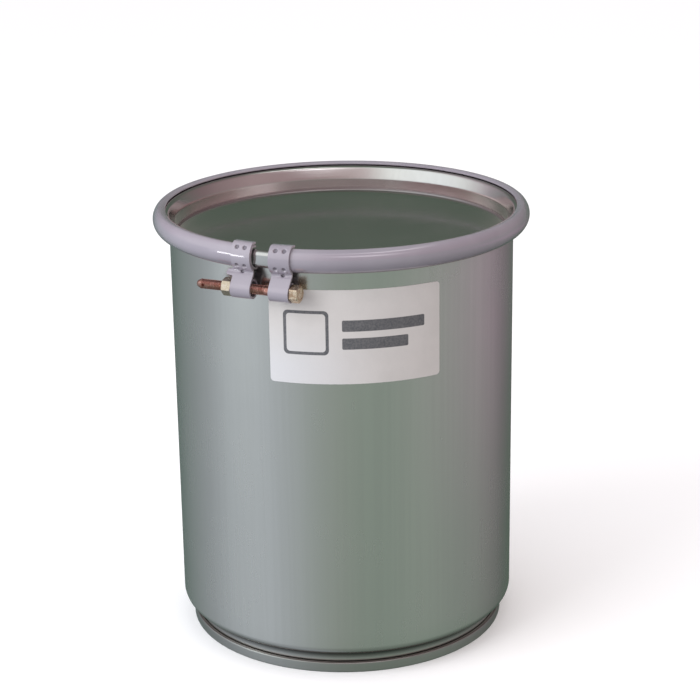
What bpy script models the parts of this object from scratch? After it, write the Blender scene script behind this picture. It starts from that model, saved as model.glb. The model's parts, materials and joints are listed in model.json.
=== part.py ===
"""Small stainless open-head drum: shell, double-seamed bottom, recessed cover and bolted closing ring.

Metres, +Z up. The origin is the centre of the base, on the drum's axis. Azimuth is measured from -Y
towards +X. The drum's front faces -Y and the ring's closure sits left of it.
"""

import bpy
import bmesh
from math import asin, atan2, cos, degrees, hypot, pi, radians, sin, sqrt
from mathutils import Matrix, Vector

MM = 0.001

# Driving dimensions, in millimetres
SHEET = 0.9  # 20 gauge stainless, for shell, bottom and cover
GAP = 0.3  # clearance between neighbouring pieces
BODY_RADIUS = 143.8  # outside of the shell's wall
TURN_STEPS = 48  # facets around every large turned piece
BOLT_STEPS = 24

CURL_RADIUS = 4.3  # outside of the rolled top edge
CURL_CENTRE = (147.2, 354.1)
SHOULDER_RADIUS = 8.0
SHOULDER_TOP = 27.0
NECK_RADIUS = 132.9  # outside, above the chime
CHIME_RADIUS = 135.6
CHIME_HEIGHT = 9.0
BOTTOM_PANEL_HEIGHT = 12.0
BOTTOM_PANEL_RADIUS = 127.0
HOOK_TOP = 6.4  # of the shell's hook inside the seam

COVER_PANEL_RADIUS = 138.7
COVER_PANEL_HEIGHT = 343.0
COVER_STEP = (141.1, 354.5)
COVER_CREST_HEIGHT = 363.8
COVER_FLANGE_RADIUS = 153.25
COVER_FLANGE_BOTTOM = 354.2
GASKET_RADII = (146.2, 151.4)

RING_SHEET = 1.5
RING_CENTRE = (146.3, 358.8)
RING_RADIUS = 10.25  # of the section's sheet centre line
RING_SHOULDER = 58.0  # degrees, where the round front turns into the flat top
RING_LIP = (147.4, 366.2)
RING_PIVOT_RADIUS = 156.5  # at the ring's back, about which its free end swings open

CLOSURE_AZIMUTH = -23.8
CLOSURE_GAP = 15.6  # between the two lugs
LUG_WIDTH = 17.0
LUG_SHEET = 1.8
LUG_LIP = [(147.0, 368.9), (151.2, 369.4)]
LUG_RELEASE = -55.0  # degrees, where the strap leaves the ring for its neck
LUG_TAB = 5.8  # how far the nut side's neck reaches over the nut
NECK_BEND = 3.0
BARREL_RADIUS = 6.9  # of the knuckle's sheet centre line
BARREL_TURN = 300.0
BOLT_AXIS_RADIUS = 153.0  # from the drum's axis
BOLT_AXIS_HEIGHT = 333.3
BOLT_RADIUS = 3.97  # 5/16 inch
BOLT_TIP = -56.1  # along the bolt from the middle of the gap
BOLT_TIP_HOLE = 6.0  # from the tip
BOLT_TIP_HOLE_RADIUS = 1.25
HEX_ACROSS_FLATS = 12.7
HEAD_HEIGHT = 7.0
HEAD_TURN = 8.0  # degrees about the bolt
NUT_HEIGHT = 7.9
NUT_TURN = -20.0  # degrees about the bolt

LABEL_AZIMUTHS = (-23.6, 31.8)
LABEL_HEIGHTS = (256.5, 333.5)
LABEL_SHEET = 0.3
LABEL_CORNER = 3.0

COLLECTION = "oil_drum"


# ---------------------------------------------------------------- scene and helpers


def clear_scene():
    for obj in list(bpy.data.objects):
        bpy.data.objects.remove(obj, do_unlink=True)
    for mesh in list(bpy.data.meshes):
        bpy.data.meshes.remove(mesh)


def make_collection(name):
    made = bpy.data.collections.new(name)
    bpy.context.scene.collection.children.link(made)
    return made


def make_material(name, colour, roughness, metallic):
    material = bpy.data.materials.new(name)
    material.use_nodes = True
    shader = material.node_tree.nodes["Principled BSDF"]
    shader.inputs["Base Color"].default_value = (*colour, 1.0)
    shader.inputs["Roughness"].default_value = roughness
    shader.inputs["Metallic"].default_value = metallic
    return material


def make_object(name, bm, material=None, collection=None):
    """A mesh object from a bmesh, shaded smooth apart from its sharp edges."""
    mesh = bpy.data.meshes.new(name)
    bm.to_mesh(mesh)
    bm.free()
    obj = bpy.data.objects.new(name, mesh)
    (collection or parts).objects.link(obj)
    if material:
        mesh.materials.append(material)
        mesh.shade_smooth()
        mesh.set_sharp_from_angle(angle=radians(35))
    return obj


def as_cutter(obj):
    obj.hide_render = True
    obj.display_type = "WIRE"
    return obj


def cut(obj, cutter, name):
    modifier = obj.modifiers.new(name, "BOOLEAN")
    modifier.operation = "DIFFERENCE"
    modifier.solver = "EXACT"
    modifier.object = cutter


# ---------------------------------------------------------------- outlines in the radius-height plane


def arc(centre, radius, start, end, steps):
    """Points of an arc, in degrees, with both ends."""
    angles = [radians(start + (end - start) * i / steps) for i in range(steps + 1)]
    return [(centre[0] + radius * cos(a), centre[1] + radius * sin(a)) for a in angles]


def offset_path(path, distance):
    """The path moved sideways to its left by a distance, with mitred corners."""
    moved = []
    for i, (x, y) in enumerate(path):
        before = path[max(i - 1, 0)]
        after = path[min(i + 1, len(path) - 1)]
        normals = []
        for a, b in ((before, (x, y)), ((x, y), after)):
            length = hypot(b[0] - a[0], b[1] - a[1])
            if length:
                normals.append(((a[1] - b[1]) / length, (b[0] - a[0]) / length))
        nx = sum(n[0] for n in normals) / len(normals)
        ny = sum(n[1] for n in normals) / len(normals)
        stretch = distance / (nx * nx + ny * ny)
        moved.append((x + nx * stretch, y + ny * stretch))
    return moved


def sheet_outline(path, thickness):
    """The closed outline of a sheet whose middle runs along an open path."""
    left = offset_path(path, thickness / 2)
    right = offset_path(path, -thickness / 2)
    return left + right[::-1]


def turned(name, outline, material):
    """A closed radius-height outline turned once about Z by a Screw modifier."""
    bm = bmesh.new()
    ring = [bm.verts.new((max(r, 0.0) * MM, 0.0, z * MM)) for r, z in outline]
    area = sum(
        outline[i - 1][0] * outline[i][1] - outline[i][0] * outline[i - 1][1]
        for i in range(len(outline))
    )
    if area > 0:
        ring.reverse()
    for i in range(len(ring)):
        bm.edges.new((ring[i - 1], ring[i]))
    obj = make_object(name, bm, material)
    screw = obj.modifiers.new("turn", "SCREW")
    screw.steps = TURN_STEPS
    screw.render_steps = TURN_STEPS
    screw.use_merge_vertices = True
    screw.merge_threshold = 0.00001
    screw.use_smooth_shade = True
    return obj


# ---------------------------------------------------------------- the closure's own frame


def closure_place(along, out, height):
    """World place of a point given along the bolt (positive to the head), outwards and up."""
    turn = Matrix.Rotation(radians(CLOSURE_AZIMUTH), 4, "Z")
    return turn @ Vector((along * MM, -out * MM, height * MM))


def closure_matrix(along, out, height):
    """Matrix with that place, its X along the bolt and its Y towards the drum's axis."""
    turn = Matrix.Rotation(radians(CLOSURE_AZIMUTH), 4, "Z")
    return Matrix.Translation(closure_place(along, out, height)) @ turn


def on_bolt(obj, along):
    """Puts an object made along +Z onto the bolt's axis, pointing from the tip to the head."""
    place = closure_matrix(along, BOLT_AXIS_RADIUS, BOLT_AXIS_HEIGHT)
    obj.matrix_world = place @ Matrix.Rotation(pi / 2, 4, "Y")


# ---------------------------------------------------------------- drum shell and bottom


def body_path():
    """Middle of the shell's sheet from the rolled edge's free end down to the hook in the seam."""
    half = SHEET / 2
    wall = BODY_RADIUS - half
    path = arc(CURL_CENTRE, CURL_CENTRE[0] - wall, -130, 180, 7)
    shoulder = (BODY_RADIUS - SHOULDER_RADIUS, SHOULDER_TOP)
    path += arc(shoulder, SHOULDER_RADIUS - half, 0, -84, 4)
    neck = NECK_RADIUS - half
    path += [(neck, SHOULDER_TOP - SHOULDER_RADIUS - 2.0), (neck, CHIME_HEIGHT + 3.0)]
    seam_wall, hook = seam_radius(3), seam_radius(1)
    path += [(seam_wall, CHIME_HEIGHT + GAP), (seam_wall, SHEET * 1.5 + GAP)]
    return path + [(hook, SHEET * 1.5 + GAP), (hook, HOOK_TOP)]


def seam_radius(layer):
    """Middle radius of one of the seam's five layers, counted inwards from 0 at the outside."""
    return CHIME_RADIUS - SHEET / 2 - layer * (SHEET + GAP)


def build_body():
    return turned("body_shell", sheet_outline(body_path(), SHEET), steel)


def build_bottom():
    half = SHEET / 2
    chuck, hook, outside = seam_radius(4), seam_radius(2), seam_radius(0)
    top, corner = CHIME_HEIGHT - half, 0.8
    path = [
        (0.0, BOTTOM_PANEL_HEIGHT - half),
        (BOTTOM_PANEL_RADIUS, BOTTOM_PANEL_HEIGHT - half),
        (chuck, BOTTOM_PANEL_HEIGHT - 3.0),
        (chuck, half),
        (outside - corner, half),
        (outside, half + corner),
        (outside, top - corner),
        (outside - corner, top),
        (hook, top),
        (hook, SHEET * 2 + 2 * GAP + 0.2),
    ]
    return turned("bottom_head", sheet_outline(path, SHEET), steel)


def build_seam_compound():
    """Sealing compound in the pocket between the shell's hook and the top of the seam."""
    middle, half = seam_radius(1), SHEET / 2
    low, high = HOOK_TOP + GAP, CHIME_HEIGHT - SHEET - GAP
    outline = [(middle + half, high), (middle + half, low), (middle - half, low), (middle - half, high)]
    return turned("seam_compound", outline, compound)


# ---------------------------------------------------------------- cover and gasket


def cover_path():
    half = SHEET / 2
    panel = COVER_PANEL_HEIGHT - half
    corner = CURL_RADIUS - half
    crest_end = COVER_FLANGE_RADIUS - corner
    path = [(0.0, panel), (COVER_PANEL_RADIUS, panel), (COVER_PANEL_RADIUS + 1.3, panel + 1.2)]
    path += [COVER_STEP, (COVER_STEP[0] + 3.2, COVER_CREST_HEIGHT - 1.2), (146.0, COVER_CREST_HEIGHT)]
    path += arc((crest_end, COVER_CREST_HEIGHT - corner), corner, 90, 0, 3)
    return path + [(COVER_FLANGE_RADIUS, COVER_FLANGE_BOTTOM)]


def build_cover():
    return turned("cover", sheet_outline(cover_path(), SHEET), steel)


def build_gasket():
    """Solid rubber ring seated in the cover's channel, above the shell's rolled edge."""
    top = COVER_CREST_HEIGHT - SHEET / 2 - GAP
    bottom = CURL_CENTRE[1] + CURL_RADIUS + GAP
    inner, outer = GASKET_RADII
    outline = [
        (outer - 1.5, top),
        (outer, top - 1.5),
        (outer, bottom + 1.2),
        (outer - 1.2, bottom),
        (inner + 1.0, bottom),
        (inner, bottom + 1.0),
        (inner, top),
    ]
    return turned("cover_gasket", outline, rubber)


# ---------------------------------------------------------------- closing ring


def build_ring():
    """C-section band over cover flange and rolled edge, split at the closure."""
    section = [RING_LIP] + arc(RING_CENTRE, RING_RADIUS, RING_SHOULDER, -90, 8)
    ring = turned("closing_ring", sheet_outline(section, RING_SHEET), paint)
    bm = bmesh.new()
    bmesh.ops.create_cube(bm, size=1.0)
    size = Vector((CLOSURE_GAP, 40.0, 40.0)) * MM
    place = closure_matrix(0.0, RING_CENTRE[0] + 5.0, RING_CENTRE[1])
    bmesh.ops.transform(bm, matrix=place @ Matrix.Diagonal((*size, 1.0)), verts=bm.verts)
    cut(ring, as_cutter(make_object("ring_gap_cutter", bm, collection=cutters)), "gap")
    return ring


def lug_path():
    """Middle of a lug's strap: over the ring, in at the neck, out along the ledge and round the bolt.

    Each point has a third value, 0 where the strap follows the round ring and 1 where it is straight.
    """
    radius = RING_RADIUS + RING_SHEET / 2 + GAP + LUG_SHEET / 2
    hug = LUG_LIP + arc(RING_CENTRE, radius, RING_SHOULDER + 3.0, LUG_RELEASE, 7)
    heading = radians(LUG_RELEASE - 90)
    last = hug[-1]
    centre = (last[0] - NECK_BEND * sin(heading), last[1] + NECK_BEND * cos(heading))
    barrel = (BOLT_AXIS_RADIUS, BOLT_AXIS_HEIGHT)
    reach = hypot(barrel[0] - centre[0], barrel[1] - centre[1])
    slope = atan2(barrel[1] - centre[1], barrel[0] - centre[0])
    # The ledge is the inner tangent from the neck's bend to the knuckle, which turn opposite ways
    tangent = slope + asin((NECK_BEND + BARREL_RADIUS) / reach)
    first, turn_end = degrees(heading) - 90, degrees(tangent) - 90
    while turn_end < first:
        turn_end += 360
    neck = arc(centre, NECK_BEND, first, turn_end, 4)[1:]
    meets = degrees(tangent) + 90
    knuckle = arc(barrel, BARREL_RADIUS, meets, meets - BARREL_TURN, 12)
    start, end = neck[-1], knuckle[0]
    for share in (0.2, 0.3):
        neck.append((start[0] + (end[0] - start[0]) * share, start[1] + (end[1] - start[1]) * share))
    path = [(r, z, 0.0) for r, z in hug]
    path += [(r, z, min((i + 1) / 4, 1.0)) for i, (r, z) in enumerate(neck)]
    return path + [(r, z, 1.0) for r, z in knuckle]


def build_lug(name, near_edge, far_edge, tab):
    """Strap between two places along the bolt. A tab widens its neck and ledge past the far edge."""
    columns = 3
    path = lug_path()
    bm = bmesh.new()
    rows = []
    hug_points = sum(1 for point in path if point[2] == 0.0)
    for i, (radius, height, straight) in enumerate(path):
        wide = tab if hug_points + 1 <= i <= hug_points + 4 else 0.0
        row = []
        for column in range(columns + 1):
            share = column / columns
            along = near_edge + (far_edge + wide - near_edge) * share
            round_out = sqrt(radius * radius - along * along)
            out = round_out + (radius - round_out) * straight
            row.append(bm.verts.new(closure_place(along, out, height)))
        rows.append(row)
    for upper, lower in zip(rows, rows[1:]):
        for a, b, c, d in zip(upper, upper[1:], lower[1:], lower):
            bm.faces.new((a, b, c, d))
    bmesh.ops.recalc_face_normals(bm, faces=bm.faces)
    lug = make_object(name, bm, paint)
    solid = lug.modifiers.new("sheet", "SOLIDIFY")
    solid.thickness = LUG_SHEET * MM
    solid.offset = 0.0
    solid.use_even_offset = True
    return lug


def hang_on_pivot(lug):
    """Parents the free end's lug to an empty on the axis that the opening ring swings about."""
    pivot = bpy.data.objects.new("ring_pivot", None)
    parts.objects.link(pivot)
    pivot.location = closure_place(0.0, -RING_PIVOT_RADIUS, RING_CENTRE[1])
    lug.parent = pivot
    lug.matrix_parent_inverse = Matrix.Translation(-pivot.location)


def lug_edges(side):
    """Near and far edge of a lug along the bolt. Side is -1 for the nut's and +1 for the head's."""
    near = side * CLOSURE_GAP / 2
    return near, near + side * LUG_WIDTH


# ---------------------------------------------------------------- bolt and nut


def hexagon(height, radius):
    """A six-sided prism along Z with its ends at 0 and height."""
    bm = bmesh.new()
    bmesh.ops.create_cone(
        bm, cap_ends=True, segments=6, radius1=radius, radius2=radius, depth=height
    )
    bmesh.ops.translate(bm, verts=bm.verts, vec=(0.0, 0.0, height / 2))
    return bm


def build_bolt():
    """Hex bolt through both knuckles, with a tapered tip and a cross hole for a seal wire."""
    head_start = CLOSURE_GAP / 2 + LUG_WIDTH + GAP
    corner = HEX_ACROSS_FLATS / sqrt(3)
    length = head_start - BOLT_TIP
    outline = [
        (0.0, HEAD_HEIGHT),
        (HEX_ACROSS_FLATS / 2 - 0.3, HEAD_HEIGHT),
        (corner, HEAD_HEIGHT - 0.6),
        (corner, 0.0),
        (BOLT_RADIUS, 0.0),
        (BOLT_RADIUS, 4.0 - length),
        (BOLT_RADIUS - 1.4, -length),
        (0.0, -length),
    ]
    bolt = turned("closing_bolt", outline, bronze)
    bolt.modifiers["turn"].steps = BOLT_STEPS
    bolt.modifiers["turn"].render_steps = BOLT_STEPS
    on_bolt(bolt, head_start)
    # The head's flats are cut by a hexagonal sleeve round it
    sleeve = hexagon(2 * HEAD_HEIGHT * MM, corner * 1.5 * MM)
    bore = hexagon(3 * HEAD_HEIGHT * MM, corner * MM)
    bmesh.ops.rotate(bore, verts=bore.verts, matrix=Matrix.Rotation(radians(HEAD_TURN), 3, "Z"))
    bmesh.ops.translate(bore, verts=bore.verts, vec=(0.0, 0.0, -HEAD_HEIGHT * MM))
    bmesh.ops.translate(sleeve, verts=sleeve.verts, vec=(0.0, 0.0, 0.05 * MM))
    outer = as_cutter(make_object("head_flats_cutter", sleeve, collection=cutters))
    inner = as_cutter(make_object("head_bore_cutter", bore, collection=cutters))
    cut(outer, inner, "bore")
    on_bolt(outer, head_start)
    on_bolt(inner, head_start)
    cut(bolt, outer, "flats")
    hole = bmesh.new()
    hole_radius = BOLT_TIP_HOLE_RADIUS * MM
    bmesh.ops.create_cone(
        hole, cap_ends=True, segments=12, radius1=hole_radius, radius2=hole_radius, depth=20 * MM
    )
    bmesh.ops.rotate(hole, verts=hole.verts, matrix=Matrix.Rotation(pi / 2, 3, "X"))
    wire_hole = as_cutter(make_object("wire_hole_cutter", hole, collection=cutters))
    wire_hole.matrix_world = closure_matrix(BOLT_TIP + BOLT_TIP_HOLE, BOLT_AXIS_RADIUS, BOLT_AXIS_HEIGHT)
    cut(bolt, wire_hole, "wire_hole")
    return bolt


def build_nut():
    """Hex nut that bears on the free lug's knuckle, clear of the bolt's shank all round."""
    corner = HEX_ACROSS_FLATS / sqrt(3)
    bm = hexagon(NUT_HEIGHT * MM, corner * MM)
    nut = make_object("closing_nut", bm, zinc)
    on_bolt(nut, nut_start())
    nut.matrix_world = nut.matrix_world @ Matrix.Rotation(radians(NUT_TURN), 4, "Z")
    bore = bmesh.new()
    bore_radius = (BOLT_RADIUS + GAP) * MM
    bmesh.ops.create_cone(
        bore, cap_ends=True, segments=24, radius1=bore_radius, radius2=bore_radius, depth=0.04
    )
    cutter = as_cutter(make_object("nut_bore_cutter", bore, collection=cutters))
    on_bolt(cutter, nut_start())
    cut(nut, cutter, "bore")
    return nut


def nut_start():
    """Where the nut's outer face is along the bolt."""
    return -(CLOSURE_GAP / 2 + LUG_WIDTH + 0.5 + NUT_HEIGHT)


# ---------------------------------------------------------------- label


def build_label():
    """Plain rectangular label with rounded corners, bent to the shell's wall."""
    first, last = LABEL_AZIMUTHS
    low, high = LABEL_HEIGHTS
    radius = BODY_RADIUS + GAP + LABEL_SHEET / 2 + 0.1
    corner_turn = degrees(LABEL_CORNER / radius)
    corner = [(1 - cos(a), 1 - sin(a)) for a in (0.0, pi / 6, pi / 3, pi / 2)]
    stations = [(first + c * corner_turn, s * LABEL_CORNER) for c, s in corner]
    spans = 12
    straight = last - first - 2 * corner_turn
    stations += [(first + corner_turn + straight * i / spans, 0.0) for i in range(1, spans)]
    stations += [(last - c * corner_turn, s * LABEL_CORNER) for c, s in reversed(corner)]
    bm = bmesh.new()
    columns = []
    for azimuth, inset in stations:
        a = radians(azimuth)
        x, y = radius * sin(a) * MM, -radius * cos(a) * MM
        columns.append([bm.verts.new((x, y, z * MM)) for z in (low + inset, high - inset)])
    for left, right in zip(columns, columns[1:]):
        bm.faces.new((left[0], right[0], right[1], left[1]))
    label = make_object("label", bm, paper)
    solid = label.modifiers.new("sheet", "SOLIDIFY")
    solid.thickness = LABEL_SHEET * MM
    solid.offset = 0.0
    return label


clear_scene()
parts = make_collection(COLLECTION)
cutters = make_collection(COLLECTION + "_cutters")

steel = make_material("stainless_steel", (0.30, 0.33, 0.29), 0.35, 1.0)
paint = make_material("ring_paint", (0.38, 0.36, 0.40), 0.40, 0.0)
rubber = make_material("gasket_rubber", (0.05, 0.05, 0.05), 0.80, 0.0)
compound = make_material("seam_compound", (0.10, 0.09, 0.08), 0.90, 0.0)
bronze = make_material("bolt_bronze", (0.30, 0.12, 0.07), 0.35, 1.0)
zinc = make_material("nut_zinc", (0.62, 0.60, 0.42), 0.40, 1.0)
paper = make_material("label_vinyl", (0.62, 0.60, 0.57), 0.55, 0.0)

build_body()
build_bottom()
build_seam_compound()
build_label()
build_cover()
build_gasket()
build_ring()
build_lug("head_side_lug", *lug_edges(1), 0.0)
hang_on_pivot(build_lug("nut_side_lug", *lug_edges(-1), -LUG_TAB))
build_bolt()
build_nut()
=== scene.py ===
"""Looks of a small stainless open-head drum with a recessed cover and a bolted closing ring.

Metres, +Z up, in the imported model's frame. Azimuth is measured from -Y towards +X, in degrees.
"""

import json
from math import asin, atan2, cos, degrees, hypot, pi, radians, sin, sqrt

import bmesh
import bpy
from mathutils import Matrix, Vector


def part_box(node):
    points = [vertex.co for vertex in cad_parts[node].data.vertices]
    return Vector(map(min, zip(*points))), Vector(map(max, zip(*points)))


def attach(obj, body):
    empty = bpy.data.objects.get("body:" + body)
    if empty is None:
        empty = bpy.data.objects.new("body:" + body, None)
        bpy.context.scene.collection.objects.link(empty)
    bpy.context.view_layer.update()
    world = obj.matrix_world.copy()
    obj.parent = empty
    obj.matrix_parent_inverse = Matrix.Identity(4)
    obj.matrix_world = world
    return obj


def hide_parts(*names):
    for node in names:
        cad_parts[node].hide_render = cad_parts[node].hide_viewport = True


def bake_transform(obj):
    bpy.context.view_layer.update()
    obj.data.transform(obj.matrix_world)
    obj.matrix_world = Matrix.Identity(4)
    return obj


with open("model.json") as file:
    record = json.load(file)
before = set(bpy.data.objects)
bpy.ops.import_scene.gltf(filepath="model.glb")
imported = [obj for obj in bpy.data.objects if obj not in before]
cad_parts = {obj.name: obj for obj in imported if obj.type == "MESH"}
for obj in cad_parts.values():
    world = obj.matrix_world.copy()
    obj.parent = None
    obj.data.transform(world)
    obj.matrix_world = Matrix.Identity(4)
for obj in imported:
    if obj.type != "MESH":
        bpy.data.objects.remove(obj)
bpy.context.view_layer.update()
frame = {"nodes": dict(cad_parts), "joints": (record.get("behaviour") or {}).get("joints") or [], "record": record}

MM = 0.001
ROUND = 288  # facets around the turned pieces
BOLT_ROUND = 72  # facets around the bolt and nut

# The CAD pieces' boxes, as (lowest corner, highest corner) in millimetres
BOX = {name: [[v / MM for v in corner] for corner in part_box(name)] for name in frame["nodes"]}
JOINT = {joint["name"]: joint for joint in frame["joints"]}

SHEET = 0.9  # stainless sheet
HALF = SHEET / 2
GAP = 0.3  # between neighbouring pieces
CLEARANCE = 0.01  # between the visual ring and the CAD's box
RING_SHEET = 1.5
LUG_SHEET = 1.8
CURL_RADIUS = 4.3
CHIME_HEIGHT = 9.0
SHOULDER_RADIUS = 8.0
SHOULDER_TOP = 27.0
SHELL_HOOK_TOP = 6.4
BOTTOM_HOOK_END = 2.6
BOTTOM_PANEL_EDGE = 127.0
BOTTOM_PANEL_DROP = 3.0
SEAM_BEND = 1.6
PANEL_MIDDLE = 60.0  # radius of an inner ring of points on the flat panels

CURL_OUT = BOX["body_shell"][1][0]
CURL_CENTRE = (CURL_OUT - CURL_RADIUS, BOX["body_shell"][1][2] - CURL_RADIUS)
BODY_RADIUS = CURL_CENTRE[0] - CURL_RADIUS + SHEET
CHIME_RADIUS = BOX["bottom_head"][1][0]
BOTTOM_PANEL_TOP = BOX["bottom_head"][1][2]
NECK_RADIUS = CHIME_RADIUS - 3 * SHEET
RING_RADIUS = 10.25  # of the section's sheet centre line
RING_REACH = RING_RADIUS + RING_SHEET / 2
RING_CENTRE = (BOX["closing_ring"][1][0] - RING_REACH - CLEARANCE, BOX["closing_ring"][0][2] + RING_REACH)
RING_SHOULDER = 58.0  # degrees, where the round front turns into the flat top
RING_LIP = (147.4, 366.2)
COVER_FLANGE_RADIUS = BOX["cover"][1][0] - HALF
COVER_TOP, COVER_LOW = BOX["cover"][1][2], BOX["cover"][0][2]
COVER_CREST_RISE = 0.5
COVER_PANEL_EDGE = 138.7
COVER_FLARE_START = (141.1, 354.5)
COVER_CREST_START, COVER_CREST_END = 146.0, 148.0
COVER_FLANGE_END = 354.2
GASKET_INNER_RADIUS = 146.2
CREASE_RADIUS = 139.3  # of the painted shade in the corner of the cover's panel

BOLT_AXIS = Vector(JOINT["bolt_spin"]["axis"]).normalized()
CLOSURE_AZIMUTH = degrees(atan2(BOLT_AXIS.y, BOLT_AXIS.x))
BOLT_POINT = Vector(JOINT["bolt_spin"]["pos_m"]) / MM
BOLT_AXIS_RADIUS = hypot(BOLT_POINT.x, BOLT_POINT.y)
BOLT_AXIS_HEIGHT = BOLT_POINT.z
CLOSURE_GAP = 15.6
LUG_WIDTH = 17.0
LUG_LIP = ((147.0, 368.9), (151.2, 369.4))
LUG_RELEASE = -55.0  # degrees, where the strap leaves the ring for its neck
LUG_TAB = 5.8
NECK_BEND = 3.0
BARREL_RADIUS = 6.9
BARREL_TURN = 300.0
BOLT_RADIUS = 3.97
BOLT_TIP = -56.1
TIP_LENGTH = 3.2
TIP_HOLE_AWAY = 6.0
TIP_HOLE_RADIUS = 1.25
THREAD_START = 4.0
HEAD_TURN = 38.0  # degrees
HEX_CHAMFER = 1.6
THREAD_PITCH = 25.4 / 18
THREAD_DEPTH = 0.55
HEX_ACROSS_FLATS = 12.7
HEAD_HEIGHT = 7.0
NUT_HEIGHT = 7.9
NUT_TURN = -10.0

LABEL_CORNER = 3.0
LABEL_SHEET = 0.22
LABEL_AWAY = 0.05  # off the wall
LABEL_CAD_AWAY = 0.55  # off the wall, to the middle of the CAD label

# The view: the camera's place, its aim in degrees and its lens
CAMERA_DISTANCE = 1.6107
CAMERA_HEIGHT = 0.7722
CAMERA_PITCH = 18.384
CAMERA_YAW = 0.201
CAMERA_ROLL = -0.857
CAMERA_FOCAL = 101.9


# ---------------------------------------------------------------- outlines in the radius-height plane


def arc(centre, radius, start, end, steps):
    """Points of an arc, in degrees, with both ends."""
    angles = [radians(start + (end - start) * i / steps) for i in range(steps + 1)]
    return [(centre[0] + radius * cos(a), centre[1] + radius * sin(a)) for a in angles]


def rounded(path, radius, steps=5):
    """The path with each inner corner turned into an arc that starts a set distance from it."""
    smooth = [path[0]]
    for before, corner, after in zip(path, path[1:], path[2:]):
        ends = []
        for other in (before, after):
            length = hypot(other[0] - corner[0], other[1] - corner[1])
            share = min(radius, 0.45 * length) / length
            ends.append([corner[k] + (other[k] - corner[k]) * share for k in (0, 1)])
        for i in range(steps + 1):
            t = i / steps
            weights = ((1 - t) ** 2, 2 * t * (1 - t), t * t)
            points = (ends[0], corner, ends[1])
            smooth.append(tuple(sum(w * p[k] for w, p in zip(weights, points)) for k in (0, 1)))
    return smooth + [path[-1]]


def offset_path(path, distance):
    """The path moved sideways to its left by a distance, with mitred corners."""
    moved = []
    for i, (x, y) in enumerate(path):
        before, after = path[max(i - 1, 0)], path[min(i + 1, len(path) - 1)]
        normals = []
        for a, b in ((before, (x, y)), ((x, y), after)):
            length = hypot(b[0] - a[0], b[1] - a[1])
            if length:
                normals.append(((a[1] - b[1]) / length, (b[0] - a[0]) / length))
        nx = sum(n[0] for n in normals) / len(normals)
        ny = sum(n[1] for n in normals) / len(normals)
        stretch = distance / (nx * nx + ny * ny)
        moved.append((x + nx * stretch, y + ny * stretch))
    return moved


def edge_round(end, normal, along, half):
    """Points of a half circle around a sheet's free edge, from its left side to its right."""
    turn = (pi / 4, 0.0, -pi / 4)
    return [tuple(end[k] + half * (normal[k] * sin(a) + along[k] * cos(a)) for k in (0, 1)) for a in turn]


def sheet_outline(path, thickness, round_start=True, round_end=True):
    """The closed outline of a sheet whose middle runs along an open path, with its free edges rounded."""
    half = thickness / 2
    left, right = offset_path(path, half), offset_path(path, -half)
    outline = list(left)
    for flag, end, inner, sign in ((round_end, path[-1], path[-2], 1), (round_start, path[0], path[1], -1)):
        length = hypot(end[0] - inner[0], end[1] - inner[1])
        along = ((end[0] - inner[0]) / length, (end[1] - inner[1]) / length)
        normal = (-along[1], along[0])
        if flag:
            outline += edge_round(end, normal, along, half)
        if sign == 1:
            outline += right[::-1]
    return outline


# ---------------------------------------------------------------- meshes


def make_object(name, vertices, faces, sharp=35, depths=None):
    """A welded mesh object. Depths, one for each vertex, are kept as the attribute "pressed"."""
    mesh = bpy.data.meshes.new(name)
    mesh.from_pydata(vertices, [], faces)
    if depths:
        mesh.attributes.new("pressed", "FLOAT", "POINT").data.foreach_set("value", depths)
    bm = bmesh.new()
    bm.from_mesh(mesh)
    bmesh.ops.remove_doubles(bm, verts=bm.verts, dist=1e-7)
    bmesh.ops.dissolve_degenerate(bm, edges=bm.edges, dist=1e-8)
    bmesh.ops.recalc_face_normals(bm, faces=bm.faces)
    bm.to_mesh(mesh)
    bm.free()
    mesh.shade_smooth()
    mesh.set_sharp_from_angle(angle=radians(sharp))
    obj = bpy.data.objects.new(name, mesh)
    bpy.context.scene.collection.objects.link(obj)
    return obj


def turned(name, outline):
    """A closed radius-height outline turned once about Z."""
    count = len(outline)
    vertices = []
    for i in range(ROUND):
        a = 2 * pi * i / ROUND
        vertices += [(max(r, 0) * MM * cos(a), max(r, 0) * MM * sin(a), z * MM) for r, z in outline]
    faces = []
    for i in range(ROUND):
        here, there = i * count, (i + 1) % ROUND * count
        for j in range(count):
            k = (j + 1) % count
            if outline[j][0] > 0 or outline[k][0] > 0:
                faces.append((here + j, there + j, there + k, here + k))
    return make_object(name, vertices, faces)


def closure_place(along, out, height):
    """World place of a point given along the bolt (positive to the head), outwards and up."""
    turn = Matrix.Rotation(radians(CLOSURE_AZIMUTH), 4, "Z")
    return turn @ Vector((along * MM, -out * MM, height * MM))


def stand_for(piece, node):
    """The piece takes the place of a CAD node and rides on its body."""
    body = next(b for b, names in frame["record"]["behaviour"]["bodies"].items() if node in names)
    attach(piece, body)
    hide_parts(node)
    return piece


# ---------------------------------------------------------------- drum


def seam_radius(layer):
    """Middle radius of one of the seam's five layers, counted inwards from 0 at the outside."""
    return CHIME_RADIUS - HALF - layer * (SHEET + GAP)


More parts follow.
